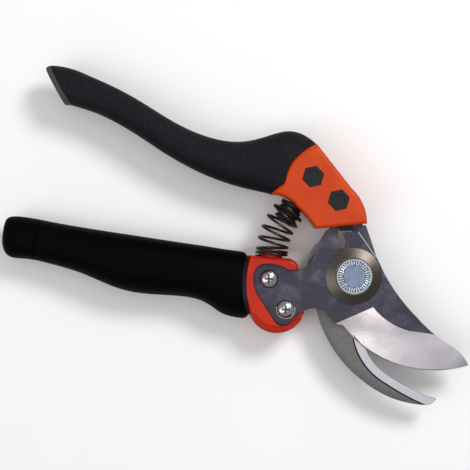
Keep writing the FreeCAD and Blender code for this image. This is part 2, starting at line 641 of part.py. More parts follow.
def pivot_set():
    front = "{blade_gap} * 1.5 + {blade_thickness}"
    back = "-{blade_gap} / 2 - {hook_thickness}"
    head_z = front + " + {cone_height}"
    low_end = back + " - {spring_washer_height} - {pivot_nut_height} - 0.8"
    shank = disc("bolt_shank", 0, 0, low_end, "{pivot_dia}",
                 f"({head_z}) - ({low_end}) + 0.2")
    head = disc("bolt_head", 0, 0, head_z, "{bolt_head_dia}", "{bolt_head_height} - 0.4")
    crown = cone("bolt_crown", 0, 0, head_z + " + {bolt_head_height} - 0.4", "{bolt_head_dia}",
                 "{bolt_head_dia} - 0.8", "0.4")
    rim = disc("bolt_rim", 0, 0, head_z + " + {bolt_head_height} - 0.25",
               "{bolt_head_dia} - 1.4", "1")
    hub = disc("bolt_boss", 0, 0, head_z, "{bolt_head_dia} * 0.58", "{bolt_head_height} + 1")
    bolt = cut("pivot_bolt", fuse("bolt_blank", [shank, head, crown]),
               cut("bolt_groove", rim, hub))
    skirt = disc("cone_skirt", 0, 0, front, "{cone_dia}", "0.7")
    slope = cone("cone_slope", 0, 0, front + " + 0.7", "{cone_dia}", "{bolt_head_dia} + 0.8",
                 "{cone_height} - 0.7")
    bore = disc("cone_bore", 0, 0, front, "{pivot_dia} + 2 * {fit}", "{cone_height}")
    washer = cut("pivot_cone_washer", fuse("cone_blank", [skirt, slope]), bore)
    ring = disc("spring_ring", 0, 0, back + " - {spring_washer_height}", "{pivot_dia} + 6.4",
                "{spring_washer_height}")
    ring_bore = disc("spring_ring_bore", 0, 0, back + " - {spring_washer_height}",
                     "{pivot_dia} + 2 * {fit}", "{spring_washer_height}")
    split = block("spring_ring_split", "0", "0", back + " - {spring_washer_height}", "1.2", "12",
                  "{spring_washer_height}")
    ring_washer = cut("pivot_spring_washer", ring, fuse("ring_tools", [ring_bore, split]))
    nut_z = back + " - {spring_washer_height} - {pivot_nut_height}"
    nut = hexagon("pivot_hex", 0, 0, nut_z, "{pivot_nut_flats}", "{pivot_nut_height}", 15)
    nut_bore = disc("pivot_nut_bore", 0, 0, nut_z, "{pivot_dia} + 2 * {fit}", "{pivot_nut_height}")
    return [bolt, washer, ring_washer, cut("pivot_nut", nut, nut_bore)]


# ---------------------------------------------------------------- lock

def lock_set():
    low = TONGUE_Y
    front = block("tongue_front", f"{LOCK_X}", f"{low}", "{blade_gap} / 2 + 0.15",
                  "{tongue_width}", "{tongue_length}", "{tongue_thickness}")
    stem = block("tongue_stem", f"{LOCK_X}", f"{low} + 1.6",
                 "-{blade_gap} / 2 - {hook_thickness} - 0.15",
                 "{tongue_width} - 0.4", "{tongue_length} - 2.4",
                 "{hook_thickness} + {blade_gap} + 0.4")
    tongue = fuse("lock_tongue", [front, stem])
    top = "-{blade_gap} / 2 - {hook_thickness} - 0.15"
    pad_block = block("button_block", f"{LOCK_X}", f"{low} + 1", top + " - {button_height} + 0.8",
                      "{button_width}", "{button_length}", "{button_height} - 0.8")
    ribs = [block(f"button_rib_{k}", f"{LOCK_X}",
                  f"{low} + 1.2 + {k} * ({{button_length}} - 0.4) / 4",
                  top + " - {button_height}", "{button_width} - 0.8", "{button_length} / 9", "1.2")
            for k in range(4)]
    button = fuse("lock_button", [pad_block] + ribs)
    return [tongue, button]


# ---------------------------------------------------------------- lower handle

def hub():
    body = new_body("hub_body")
    outline = sketch_on(body, "hub_outline", "-{hub_back}")
    draw_outline(outline, [
        (-27.5, 7.4), (-24.4, 6.2, -22.9, 3.3), (-20.5, -15.2),
        (-31.5, -23.8, -43.6, -15.7), (-50.0, -12.0), (-50.0, 9.02),
    ])
    pad(body, "hub_pad", outline, "{hub_front} + {hub_back}")
    round_faces(body, "hub_flank", (size("hub_front"),), "{hub_flank}",
                lambda point: point.y < -14, "Chamfer")
    round_faces(body, "hub_rounding", (size("hub_front"), -size("hub_back")), "{hub_round}",
                lambda point: point.y > -14 or point.z < 0)
    seat = sketch_on(body, "tang_seat", "{blade_gap} / 2")
    pocket_line = grown(TANG[:-2], (-30.5, -6.5), size("seat"))
    draw_outline(seat, pocket_line + [(-10.0, -14.6), (-10.0, 3.0), (-22.0, 2.9)])
    pocket(body, "tang_seat_cut", seat, "{hub_front} + 2", upwards=True)
    holes = sketch_on(body, "hub_holes")
    for x, y in TANG_SCREWS:
        draw_circle(holes, x, y, "{tang_screw_dia} + 2 * {fit}")
    pocket(body, "hub_hole_cut", holes)
    for number, (x, y) in enumerate(TANG_SCREWS, start=1):
        nut_seat = sketch_on(body, f"hub_nut_seat_{number}", "-{hub_back}")
        draw_outline(nut_seat, hexagon_corners(x, y, size("tang_nut_flats")))
        pocket(body, f"hub_nut_cut_{number}", nut_seat, "{tang_nut_height} + {seat}", upwards=True)
    domed = doc.addObject("Part::Common", "hub_domed")
    domed.Base = body
    domed.Tool = dome_ball("hub_ball", "{hub_dome}")
    peg = doc.addObject("Part::Cylinder", "spring_peg")
    lean = Rotation(Vector(0, 0, 1), Vector(0.072, 0.997, 0))
    peg.Placement = Placement(Vector(-34.3, 6.6, 0), lean)
    bind(peg, "Radius", "{peg_dia} / 2")
    bind(peg, "Height", "{peg_height} + 1.3")
    with_peg = fuse("hub_with_peg", [domed, peg])
    bore = spindle_disc("hub_bore", "26.4", "{spindle_dia} + 2 * {fit}", "10")
    collar = spindle_disc("hub_collar_bore", "30.1", "{collar_dia} + 2 * {fit}", "10")
    return cut("lower_handle_hub", with_peg, fuse("hub_bores", [bore, collar]))


def tang_fasteners():
    made = []
    head_z = "{blade_gap} / 2 + {blade_thickness} - {tang_bore_depth}"
    for number, (x, y) in enumerate(TANG_SCREWS, start=1):
        shank = disc(f"tang_shank_{number}", x, y, "-{hub_back} + 0.4", "{tang_screw_dia}",
                     f"{{hub_back}} - 0.2 + {head_z}")
        pan = disc(f"tang_pan_{number}", x, y, head_z, "{tang_head_dia}", "{tang_head_height}")
        ball = doc.addObject("Part::Sphere", f"tang_dome_{number}")
        move_to(ball, x, y, head_z + " + {tang_head_height} - {tang_dome}")
        bind(ball, "Radius", "{tang_dome}")
        head = doc.addObject("Part::Common", f"tang_head_{number}")
        head.Base = pan
        head.Tool = ball
        cross = []
        for arm in range(2):
            slot = doc.addObject("Part::Box", f"cross_{number}_{arm}")
            slot.Length = 0.8 if arm else 3.6
            slot.Width = 3.6 if arm else 0.8
            slot.Height = 2
            slot.Placement.Base = Vector(x - slot.Length.Value / 2, y - slot.Width.Value / 2, 0)
            bind(slot, "Placement.Base.z", head_z + " + {tang_head_height} - 1.4")
            cross.append(slot)
        made.append(cut(f"blade_screw_{number}", fuse(f"tang_screw_{number}", [shank, head]),
                        fuse(f"cross_recess_{number}", cross)))
        nut = hexagon(f"tang_hex_{number}", x, y, "-{hub_back} + 0.2", "{tang_nut_flats}",
                      "{tang_nut_height}")
        bore = disc(f"tang_nut_bore_{number}", x, y, "-{hub_back}", "{tang_screw_dia} + 2 * {fit}",
                    "{tang_nut_height} + 1")
        made.append(cut(f"blade_nut_{number}", nut, bore))
    return made


def spindle_set():
    rod = spindle_disc("spindle_rod", "26.5", "{spindle_dia}", "{spindle_end} - 26.5")
    collar = spindle_disc("spindle_collar", "30.2", "{collar_dia}", "2.8")
    tap = spindle_disc("spindle_tap", "{spindle_end} - 12", "3.1", "12")
    spindle = cut("grip_spindle", fuse("spindle_blank", [rod, collar]), tap)
    ring = spindle_disc("thrust_ring", "33.1", "{collar_dia}", "1.6")
    ring_bore = spindle_disc("thrust_bore", "33.1", "{spindle_dia} + 2 * {fit}", "1.6")
    thrust = cut("thrust_washer", ring, ring_bore)
    plate = spindle_disc("end_plate", "{spindle_end}", "10", "1")
    plate_bore = spindle_disc("end_plate_bore", "{spindle_end}", "3.3", "1")
    washer = cut("spindle_washer", plate, plate_bore)
    screw_head = spindle_disc("end_screw_head", "{spindle_end} + 1", "6", "1.8")
    screw_shank = spindle_disc("end_screw_shank", "{spindle_end} - 9", "3", "10.5")
    socket = spindle_disc("end_screw_socket", "{spindle_end} + 1.8", "2.6", "1.2")
    screw = cut("spindle_screw", fuse("end_screw", [screw_head, screw_shank]), socket)
    return [spindle, thrust, washer, screw]


# distance from the dome's centre, offset across, half height, share of the full depth
TURNING_STATIONS = [
    (26.0, -5.6, 13.6, 0.92), (38.0, -5.5, 13.8, 0.94), (44.0, -4.2, 12.5, 0.96),
    (50.0, -2.8, 11.2, 0.97), (60.0, -2.7, 11.1, 1.0), (78.0, -3.4, 11.8, 1.0),
    (90.0, -2.6, 11.0, 0.96), (101.0, -1.1, 9.6, 0.88), (114.0, 0.2, 8.6, 0.80),
    (126.0, 0.9, 8.5, 0.76), (130.8, 0.5, 8.9, 0.74), (133.6, 0.7, 8.3, 0.68),
    (135.5, 1.4, 6.9, 0.56), (136.9, 2.4, 4.2, 0.32),
]


def turning_set():
    turn = math.radians(180 - SPINDLE_ANGLE)
    rings = []
    for distance, across, half, deep in TURNING_STATIONS:
        centre = along_spindle(distance, across)
        rings.append(section(centre, turn, half, size("turning_depth") * deep))
    skin = loft("turning_skin", rings)
    shell = cut("turning_shell", skin, dome_ball("rim_ball", "{hub_dome} + {dome_gap}"))
    beyond = spindle_disc("beyond_cap", "{cap_start}", "60", "60")
    inside = spindle_disc("turning_inside", "20", "{core_dia}", "{cap_start} - 20")
    grip = cut("turning_grip", shell, fuse("turning_tools", [beyond, inside]))
    cap_skin = doc.addObject("Part::Common", "cap_skin")
    cap_skin.Base = shell
    again = spindle_disc("beyond_cap_again", "{cap_start}", "60", "60")
    cap_skin.Tool = again
    spigot = spindle_disc("cap_spigot", "{cap_start} - 2.4", "{core_dia} - 1.4 - 2 * {fit}", "3.4")
    hollow = spindle_disc("cap_hollow", "{cap_start} - 5", "7", "11")
    cap = cut("grip_end_cap", fuse("cap_blank", [cap_skin, spigot]), hollow)
    rod = spindle_disc("core_rod", "34.8", "{core_dia}", "{cap_start} - 34.8")
    bore = spindle_disc("core_bore", "30", "{spindle_dia} + 2 * {fit}", "120")
    well = spindle_disc("core_well", "{spindle_end} - 0.1", "{core_dia} - 1.4", "20")
    core = cut("grip_sleeve_core", rod, fuse("core_tools", [bore, well]))
    return [grip, cap, core]


frame = handle_frame()
parts = [cutting_blade(), counter_blade(), frame, upper_grip(frame), spring_buffer(),
         return_spring(), hub()]
parts += frame_fasteners() + pivot_set() + lock_set() + tang_fasteners() + spindle_set()
parts += turning_set()
doc.recompute()

broken = [item.Label for item in doc.Objects if "Invalid" in item.State or "Error" in item.State]
if broken:
    raise ValueError(f"these objects failed: {broken}")
os.makedirs("parts", exist_ok=True)
for item in parts:
    shape = item.Shape
    if shape.isNull() or not shape.isValid() or not shape.Solids:
        raise ValueError(f"{item.Label} has no valid solid")
    print(f"{item.Label:24s} solids {len(shape.Solids)}  volume {shape.Volume:10.1f}  "
          f"x {shape.BoundBox.XMin:7.1f} {shape.BoundBox.XMax:7.1f}  "
          f"y {shape.BoundBox.YMin:7.1f} {shape.BoundBox.YMax:7.1f}  "
          f"z {shape.BoundBox.ZMin:7.1f} {shape.BoundBox.ZMax:7.1f}")
    shape.exportStep(f"parts/{item.Label}.step")
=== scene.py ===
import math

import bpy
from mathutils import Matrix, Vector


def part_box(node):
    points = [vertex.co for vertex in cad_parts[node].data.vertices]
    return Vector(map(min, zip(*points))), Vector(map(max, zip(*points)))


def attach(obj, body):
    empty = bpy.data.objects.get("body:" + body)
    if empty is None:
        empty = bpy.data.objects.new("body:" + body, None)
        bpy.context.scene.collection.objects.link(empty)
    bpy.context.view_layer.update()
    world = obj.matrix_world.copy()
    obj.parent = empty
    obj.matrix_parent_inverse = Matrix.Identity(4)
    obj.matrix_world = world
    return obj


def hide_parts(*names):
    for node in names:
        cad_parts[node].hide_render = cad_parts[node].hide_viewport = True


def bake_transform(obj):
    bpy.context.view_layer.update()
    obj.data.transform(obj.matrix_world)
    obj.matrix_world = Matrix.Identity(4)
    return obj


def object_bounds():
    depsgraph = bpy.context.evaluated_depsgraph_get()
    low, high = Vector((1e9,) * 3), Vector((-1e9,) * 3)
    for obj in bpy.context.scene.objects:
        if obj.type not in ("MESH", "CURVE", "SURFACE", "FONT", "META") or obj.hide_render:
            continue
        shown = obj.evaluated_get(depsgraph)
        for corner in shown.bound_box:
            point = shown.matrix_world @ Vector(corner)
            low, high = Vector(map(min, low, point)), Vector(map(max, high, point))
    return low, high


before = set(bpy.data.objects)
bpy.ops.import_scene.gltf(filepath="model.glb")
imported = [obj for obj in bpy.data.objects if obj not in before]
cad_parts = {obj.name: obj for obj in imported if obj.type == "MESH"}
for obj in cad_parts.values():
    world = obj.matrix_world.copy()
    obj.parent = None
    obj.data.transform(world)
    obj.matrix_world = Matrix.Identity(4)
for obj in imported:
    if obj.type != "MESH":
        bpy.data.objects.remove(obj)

# %% [markdown]
# A bypass pruner lies on its side with its jaws open.  The metal pieces come from the fixed
# CAD frame and only need a finish.  The soft grips, the rubber buffer and the coil spring are
# modelled here, because their look depends on curved skins and on a wire that bends.

MM = 0.001
cad_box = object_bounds()
print("frame box", [round(value, 4) for corner in cad_box for value in corner])

# %% [markdown]
# Operators act on whatever is selected, so every step starts by choosing exactly one object.

# %% Choosing and finishing helpers


def choose(piece):
    if bpy.context.object and bpy.context.object.mode != "OBJECT":
        bpy.ops.object.mode_set(mode="OBJECT")
    bpy.ops.object.select_all(action="DESELECT")
    piece.select_set(True)
    bpy.context.view_layer.objects.active = piece


def new_from_primitive(name):
    piece = bpy.context.object
    piece.name = name
    piece.data.name = name
    return piece


def apply_modifier(piece, kind, **settings):
    choose(piece)
    modifier = piece.modifiers.new(kind.title(), kind)
    for key, value in settings.items():
        setattr(modifier, key, value)
    bpy.ops.object.modifier_apply(modifier=modifier.name)


def settle(piece):
    """Put the object's place, turn and size into its mesh."""
    choose(piece)
    bpy.ops.object.transform_apply(location=True, rotation=True, scale=True)


def outward(piece):
    choose(piece)
    bpy.ops.object.mode_set(mode="EDIT")
    bpy.ops.mesh.select_all(action="SELECT")
    bpy.ops.mesh.remove_doubles(threshold=0.002 * MM)
    bpy.ops.mesh.normals_make_consistent(inside=False)
    bpy.ops.object.mode_set(mode="OBJECT")


def smooth(piece, angle=40):
    choose(piece)
    bpy.ops.object.shade_smooth_by_angle(angle=math.radians(angle))


def carve(piece, tool):
    """Cut one closed piece with another and throw the tool away."""
    apply_modifier(piece, "BOOLEAN", operation="DIFFERENCE", object=tool, solver="EXACT")
    bpy.data.objects.remove(tool)


# %% [markdown]
# A finish is a small network of nodes.  Wrapping each output in a Python object lets the
# sums be written as ordinary expressions, which is far easier to read than a list of links.

# %% Shader expressions


class Value:
    """An output socket that can take part in sums."""

    def __init__(self, recipe, socket):
        self.recipe = recipe
        self.socket = socket

    def math(self, operation, *operands):
        return self.recipe.node("ShaderNodeMath", {"operation": operation}, list(operands))

    def __add__(self, other):
        return self.math("ADD", self, other)

    def __sub__(self, other):
        return self.math("SUBTRACT", self, other)

    def __mul__(self, other):
        return self.math("MULTIPLY", self, other)

    def __rsub__(self, other):
        return self.math("SUBTRACT", other, self)

    __radd__ = __add__
    __rmul__ = __mul__

    def ramp(self, low, high, start=0.0, end=1.0, base=0.0):
        """Smoothly from start to end as this goes from low to high above a base."""
        return self.recipe.node(
            "ShaderNodeMapRange", {"interpolation_type": "SMOOTHSTEP", "clamp": True},
            {"Value": self, "From Min": base + low, "From Max": base + high,
             "To Min": start, "To Max": end}, output="Result")


class Recipe:
    """One material with its Principled shader."""

    def __init__(self, name, **uniform):
        self.material = bpy.data.materials.new(name)
        self.material.use_nodes = True
        self.tree = self.material.node_tree
        self.shader = self.tree.nodes["Principled BSDF"]
        for socket, value in uniform.items():
            self.shader.inputs[socket.replace("_", " ")].default_value = value
        self.place = self.node("ShaderNodeTexCoord", {}, {}, output="Object")
        parts = self.tree.nodes.new("ShaderNodeSeparateXYZ")
        self.tree.links.new(self.place.socket, parts.inputs[0])
        self.x, self.y, self.z = (Value(self, parts.outputs[axis]) for axis in "XYZ")

    def node(self, kind, settings, inputs, output=0):
        made = self.tree.nodes.new(kind)
        for key, value in settings.items():
            setattr(made, key, value)
        named = inputs.items() if isinstance(inputs, dict) else enumerate(inputs)
        for key, value in named:
            if isinstance(value, Value):
                self.tree.links.new(value.socket, made.inputs[key])
            else:
                made.inputs[key].default_value = value
        return Value(self, made.outputs[output])

    def noise(self, grain_mm, detail=3.0, stretch=(1, 1, 1), turn=0.0):
        """Noise whose grain is about so many millimetres."""
        place = self.node("ShaderNodeMapping", {}, {
            "Vector": self.place, "Rotation": (0, 0, turn),
            "Scale": tuple(axis / (grain_mm * MM) for axis in stretch)})
        return self.node("ShaderNodeTexNoise", {}, {"Vector": place, "Scale": 1.0,
                                                    "Detail": detail}, output=0)

    def mix(self, amount, low, high):
        """From one colour to another."""
        made = self.tree.nodes.new("ShaderNodeMix")
        made.data_type = "RGBA"
        for key, value in ((0, amount), (6, low), (7, high)):
            if isinstance(value, Value):
                self.tree.links.new(value.socket, made.inputs[key])
            else:
                made.inputs[key].default_value = value if key == 0 else (*value, 1)
        return Value(self, made.outputs[2])

    def normal_part(self, axis):
        """One component of the surface's direction."""
        facing = self.node("ShaderNodeNewGeometry", {}, {}, output="Normal")
        parts = self.tree.nodes.new("ShaderNodeSeparateXYZ")
        self.tree.links.new(facing.socket, parts.inputs[0])
        return Value(self, parts.outputs[axis])

    def radius(self, x=0.0, y=0.0):
        """Distance from an upright axis."""
        dx = self.x - x
        dy = self.y - y
        return self.node("ShaderNodeMath", {"operation": "SQRT"}, [dx * dx + dy * dy])

    def set(self, socket, value):
        self.tree.links.new(value.socket, self.shader.inputs[socket])

    def bump(self, height, depth_mm):
        made = self.node("ShaderNodeBump", {}, {"Height": height, "Distance": depth_mm * MM,
                                                "Strength": 1.0})
        self.set("Normal", made)


# %% [markdown]
# The steel plates are coated dark and then ground bright where they cut.  One mesh carries
# both finishes, so a mask decides where the grinding wheel has been: on the cutting blade it
# is the sloping bevel below the plate's top, on the counter blade the raised lip.

# %% Steel finishes
COATING = (0.042, 0.04, 0.056)
GROUND = (0.72, 0.69, 0.74)
DARK_EDGE = (0.07, 0.065, 0.07)
# the blade's straight top edge: a point on it and the direction across it
TOP_EDGE = (2.2 * MM, 18.45 * MM)
ACROSS_TOP_EDGE = (0.822, 0.57)
# where the hook's polished lip starts, as a distance from the pivot
LIP_START = 19.2 * MM
plate_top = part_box("cutting_blade")[1].z
bolt_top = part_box("pivot_bolt")[1].z


def coated(recipe, tint=COATING):
    patch = recipe.noise(6.0, 4.0)
    speck = recipe.noise(0.5, 2.0)
    colour = recipe.mix(patch.ramp(0.45, 0.75), tint, tuple(c * 2.0 for c in tint))
    return colour, speck


def finish_cutting_blade():
    recipe = Recipe("coated_and_ground_steel", Metallic=0.85)
    colour, speck = coated(recipe)
    facing = recipe.normal_part(2)
    bevel = (plate_top - recipe.z).ramp(0.01 * MM, 0.03 * MM) * facing.ramp(0.3, 0.6)
    bevel = bevel * recipe.y.ramp(-13.2 * MM, -12.6 * MM, 1, 0)
    lines = recipe.noise(0.16, 3.0, stretch=(1, 0.04, 1), turn=math.radians(-28))
    satin = recipe.noise(9.0, 2.0)
    # the ground colour grows brighter towards the heel
    ground = recipe.mix(recipe.x.ramp(6 * MM, 30 * MM), (0.98, 0.9, 0.92), GROUND)
    ground = recipe.mix(satin.ramp(0.3, 0.75) * 0.5, ground, tuple(c * 0.75 for c in GROUND))
    ground = recipe.mix(lines.ramp(0.3, 0.8) * 0.35, ground, (0.3, 0.28, 0.3))
    edge = recipe.z.ramp(0.46 * MM, 0.56 * MM, 1, 0)
    ground = recipe.mix(edge, ground, DARK_EDGE)
    # a painted highlight along the blade's straight top edge
    beside = ((recipe.x - TOP_EDGE[0]) * ACROSS_TOP_EDGE[0]
              + (recipe.y - TOP_EDGE[1]) * ACROSS_TOP_EDGE[1])
    painted_edge_highlight = beside.ramp(-0.32 * MM, -0.16 * MM) * recipe.y.ramp(7.4 * MM, 8.4 * MM)
    colour = recipe.mix(painted_edge_highlight, colour, (0.5, 0.48, 0.5))
    recipe.set("Base Color", recipe.mix(bevel, colour, ground))
    rough = speck.ramp(0.2, 0.8, 0.38, 0.5)
    recipe.set("Roughness", rough + bevel * (lines.ramp(0.3, 0.7, -0.06, 0.04)))
    recipe.bump(speck * 0.5 + lines * bevel, 0.012)
    return recipe.material


# centre and radius of the arc along the hook's back
HOOK_BACK = (36.1 * MM, -1.4 * MM, 53.3 * MM)


def finish_counter_blade():
    recipe = Recipe("hook_steel", Metallic=0.85)
    colour = coated(recipe, (0.06, 0.057, 0.072))[0]
    cast = recipe.noise(0.7, 4.0)
    hook = recipe.mix(cast.ramp(0.3, 0.7), (0.105, 0.1, 0.1), (0.17, 0.162, 0.162))
    # painted shade towards the hook's rounded back, an arc about a point beyond the tip
    painted_back_shade = recipe.radius(*HOOK_BACK[:2]).ramp(HOOK_BACK[2] - 3.2 * MM, HOOK_BACK[2] - 0.2 * MM)
    hook = recipe.mix(painted_back_shade * 0.35, hook, (0.045, 0.043, 0.043))
    below = recipe.y.ramp(-12.0 * MM, -14.0 * MM)
    base = recipe.mix(below, colour, hook)
    high = recipe.z.ramp(-0.3 * MM, -0.2 * MM) * recipe.normal_part(2).ramp(0.6, 0.9)
    lip = high * recipe.radius().ramp(LIP_START, LIP_START + 0.2 * MM)
    lines = recipe.noise(0.14, 2.0, stretch=(1, 0.05, 1), turn=math.radians(35))
    bright = recipe.mix(lines.ramp(0.3, 0.8), (0.47, 0.45, 0.5), (0.35, 0.335, 0.38))
    # painted shade on the floor of the groove beside the lip
    groove_shade = recipe.z.ramp(-1.1 * MM, -0.9 * MM, 1, 0) * recipe.normal_part(2).ramp(0.6, 0.9)
    base = recipe.mix(groove_shade, base, (0.02, 0.02, 0.022))
    recipe.set("Base Color", recipe.mix(lip, base, bright))
    recipe.set("Roughness", cast.ramp(0.3, 0.8, 0.42, 0.55) - lip * 0.15)
    recipe.bump(cast * (1 - lip) + lines * lip * 0.3, 0.02)
    return recipe.material


# %% [markdown]
# Small hardware is zinc plated or blackened.  The conical washer is turned on a lathe, so its
# marks are rings about the pivot: noise that depends on the radius alone.

# %% Hardware finishes


def finish_zinc():
    recipe = Recipe("bright_zinc", Metallic=1.0)
    tint = (0.56, 0.6, 0.68)
    mottle = recipe.noise(1.2, 4.0)
    colour = recipe.mix(mottle.ramp(0.35, 0.7), tint, tuple(c * 0.72 for c in tint))
    recipe.set("Base Color", colour)
    recipe.set("Roughness", recipe.noise(0.6, 3.0).ramp(0.3, 0.7, 0.2, 0.36))
    recipe.bump(mottle, 0.01)
    return recipe.material


def finish_bolt():
    """Smooth blue zinc in the middle and on the rim, with painted shade in the low ring between the
    ridges.
    """
    recipe = Recipe("blue_zinc", Metallic=1.0)
    mottle = recipe.noise(2.5, 3.0)
    colour = recipe.mix(mottle.ramp(0.35, 0.7), (0.17, 0.21, 0.29), (0.13, 0.16, 0.22))
    ring = recipe.radius()
    shaded_ring = ring.ramp(4.3 * MM, 4.5 * MM) * ring.ramp(6.7 * MM, 6.8 * MM, 1, 0)
    low = recipe.z.ramp(-0.3 * MM, -0.2 * MM, 1, 0, base=bolt_top)
    colour = recipe.mix(ring.ramp(6.5 * MM, 6.8 * MM), colour, (0.4, 0.43, 0.48))
    recipe.set("Base Color", recipe.mix(shaded_ring * low, colour, (0.03, 0.035, 0.045)))
    recipe.set("Roughness", recipe.noise(0.8, 3.0).ramp(0.3, 0.7, 0.24, 0.34))
    recipe.bump(mottle, 0.006)
    return recipe.material


def finish_cross_screw():
    """Bright zinc with painted shade in the cross recess."""
    recipe = Recipe("screw_zinc", Metallic=1.0)
    mottle = recipe.noise(0.9, 3.0)
    colour = recipe.mix(mottle.ramp(0.35, 0.7), (0.62, 0.63, 0.65), (0.44, 0.45, 0.47))
    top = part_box("blade_screw_1")[1].z
    deep = recipe.z.ramp(-0.7 * MM, -0.45 * MM, 1, 0, base=top)
    near = 0.0
    for node in ("blade_screw_1", "blade_screw_2"):
        low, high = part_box(node)
        near = recipe.radius((low.x + high.x) / 2, (low.y + high.y) / 2).ramp(
            2.0 * MM, 2.2 * MM, 1, 0) + near
    recipe.set("Base Color", recipe.mix(deep * near, colour, (0.05, 0.05, 0.055)))
    recipe.set("Roughness", recipe.noise(0.6, 3.0).ramp(0.3, 0.7, 0.18, 0.3))
    recipe.bump(mottle, 0.01)
    return recipe.material


def finish_turned_washer():
    recipe = Recipe("turned_brown_steel", Metallic=1.0)
    ring = recipe.radius()
    place = recipe.node("ShaderNodeCombineXYZ", {}, {0: ring * 9000.0, 1: 0.0, 2: 0.0})
    rings = recipe.node("ShaderNodeTexNoise", {}, {"Vector": place, "Scale": 1.0, "Detail": 3.0})
    colour = recipe.mix(rings.ramp(0.3, 0.7), (0.07, 0.056, 0.046), (0.13, 0.115, 0.1))
    recipe.set("Base Color", colour)
    recipe.set("Roughness", rings.ramp(0.3, 0.7, 0.3, 0.42))
    recipe.bump(rings, 0.012)
    return recipe.material


def finish_black_oxide():
    recipe = Recipe("black_oxide", Specular_IOR_Level=0.15)
    mottle = recipe.noise(0.8, 4.0)
    recipe.set("Base Color", recipe.mix(mottle, (0.006, 0.006, 0.007), (0.02, 0.02, 0.022)))
    recipe.set("Roughness", mottle.ramp(0.3, 0.7, 0.36, 0.5))
    recipe.bump(mottle, 0.012)
    return recipe.material


def finish_spring_steel():
    recipe = Recipe("oiled_spring_wire", Metallic=0.9)
    mottle = recipe.noise(0.9, 4.0)
    recipe.set("Base Color", recipe.mix(mottle, (0.018, 0.014, 0.012), (0.075, 0.06, 0.052)))
    recipe.set("Roughness", mottle.ramp(0.3, 0.7, 0.26, 0.4))
    recipe.bump(mottle, 0.01)
    return recipe.material


# %% [markdown]
# The frame is a painted casting and the hub a moulded nylon.  Both are glossy but never
# perfectly even, so broad noise drifts the colour and fine noise breaks up the reflections.

# %% Painted and moulded finishes


def finish_paint(name, tint, deep, rough, peel=0.02):
    recipe = Recipe(name, Specular_IOR_Level=0.16, Coat_Weight=0.04, Coat_Roughness=0.15)
    broad = recipe.noise(14.0, 3.0)
    fine = recipe.noise(0.45, 3.0)
    recipe.set("Base Color", recipe.mix(broad.ramp(0.3, 0.7), tint, deep))
    recipe.set("Roughness", fine.ramp(0.3, 0.7, rough, rough + 0.1))
    recipe.bump(fine, peel)
    return recipe.material


def finish_rubber(name, tint, lighter, grain_mm, depth_mm, rough, shine=0.25, pale_band=None):
    """The last argument gives the centre of a circle, the distances where a paler band starts and
    ends, and its tint.
    """
    recipe = Recipe(name, Specular_IOR_Level=shine)
    grain = recipe.noise(grain_mm, 5.0)
    broad = recipe.noise(11.0, 3.0)
    colour = recipe.mix(grain.ramp(0.45, 0.8), tint, lighter)
    colour = recipe.mix(broad.ramp(0.3, 0.7) * 0.25, colour, tint)
    if pale_band:
        x, y, start, end, pale = pale_band
        amount = recipe.radius(x * MM, y * MM).ramp(start * MM, end * MM)
        colour = recipe.mix(amount * grain.ramp(0.2, 0.5, 0.6, 1.0), colour, pale)
    recipe.set("Base Color", colour)
    recipe.set("Roughness", grain.ramp(0.3, 0.7, rough, rough + 0.12))
    recipe.bump(grain, depth_mm)
    return recipe.material


# the upper grip is paler towards its cut-off end, and the lower grip's rim has a painted highlight
PALE_END = (-36.7, 126.4, 97.6, 98.2, (0.08, 0.068, 0.06))
RIM_HIGHLIGHT = (-12.1, -3.4, 34.8, 33.8, (0.02, 0.021, 0.03))
FINISHES = {
    "cutting_blade": finish_cutting_blade(),
    "counter_blade": finish_counter_blade(),
    "zinc": finish_zinc(),
    "bolt": finish_bolt(),
    "cross_screw": finish_cross_screw(),
    "washer": finish_turned_washer(),
    "black": finish_black_oxide(),
    "wire": finish_spring_steel(),
    "orange": finish_paint("orange_paint", (0.6, 0.052, 0.002), (0.5, 0.04, 0.002), 0.36),
    "red": finish_paint("red_moulding", (0.5, 0.018, 0.003), (0.4, 0.011, 0.002), 0.3),
    "charcoal": finish_rubber("charcoal_grip_skin", (0.004, 0.004, 0.006), (0.045, 0.045, 0.056),
                              0.28, 0.05, 0.6, 0.1, PALE_END),
    "soft_black": finish_rubber("black_grip_skin", (0.0008, 0.0008, 0.0008), (0.002, 0.002, 0.002),
                                0.4, 0.03, 0.5, 0.03),
    "black_painted_rim_highlight": finish_rubber("black_grip_painted_rim_highlight", (0.0008, 0.0008, 0.0008), (0.002, 0.002, 0.002),
                               0.4, 0.03, 0.5, 0.03, RIM_HIGHLIGHT),
    "rubber": finish_rubber("buffer_rubber", (0.006, 0.006, 0.006), (0.014, 0.014, 0.014),
                            0.4, 0.02, 0.42),
    "nylon": finish_rubber("natural_nylon", (0.5, 0.48, 0.42), (0.66, 0.64, 0.58), 0.6, 0.01, 0.4),
}
NODE_FINISH = {
    "cutting_blade": "cutting_blade", "counter_blade": "counter_blade",
    "upper_handle_frame": "orange", "lower_handle_hub": "red",
    "pivot_bolt": "bolt", "pivot_cone_washer": "washer",
    "pivot_spring_washer": "zinc", "pivot_nut": "zinc",
    "counter_blade_nut_1": "black", "counter_blade_nut_2": "black",
    "counter_blade_screw_1": "black", "counter_blade_screw_2": "black",
    "lock_tongue": "black", "lock_button": "rubber",
    "blade_screw_1": "cross_screw", "blade_screw_2": "cross_screw",
    "blade_nut_1": "zinc", "blade_nut_2": "zinc",
    "grip_spindle": "zinc", "spindle_washer": "zinc", "spindle_screw": "zinc",
    "thrust_washer": "nylon", "grip_sleeve_core": "rubber",
}
for node, finish in NODE_FINISH.items():
    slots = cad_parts[node].data.materials
    slots.clear()
    slots.append(FINISHES[finish])
print("finished nodes", len(NODE_FINISH))


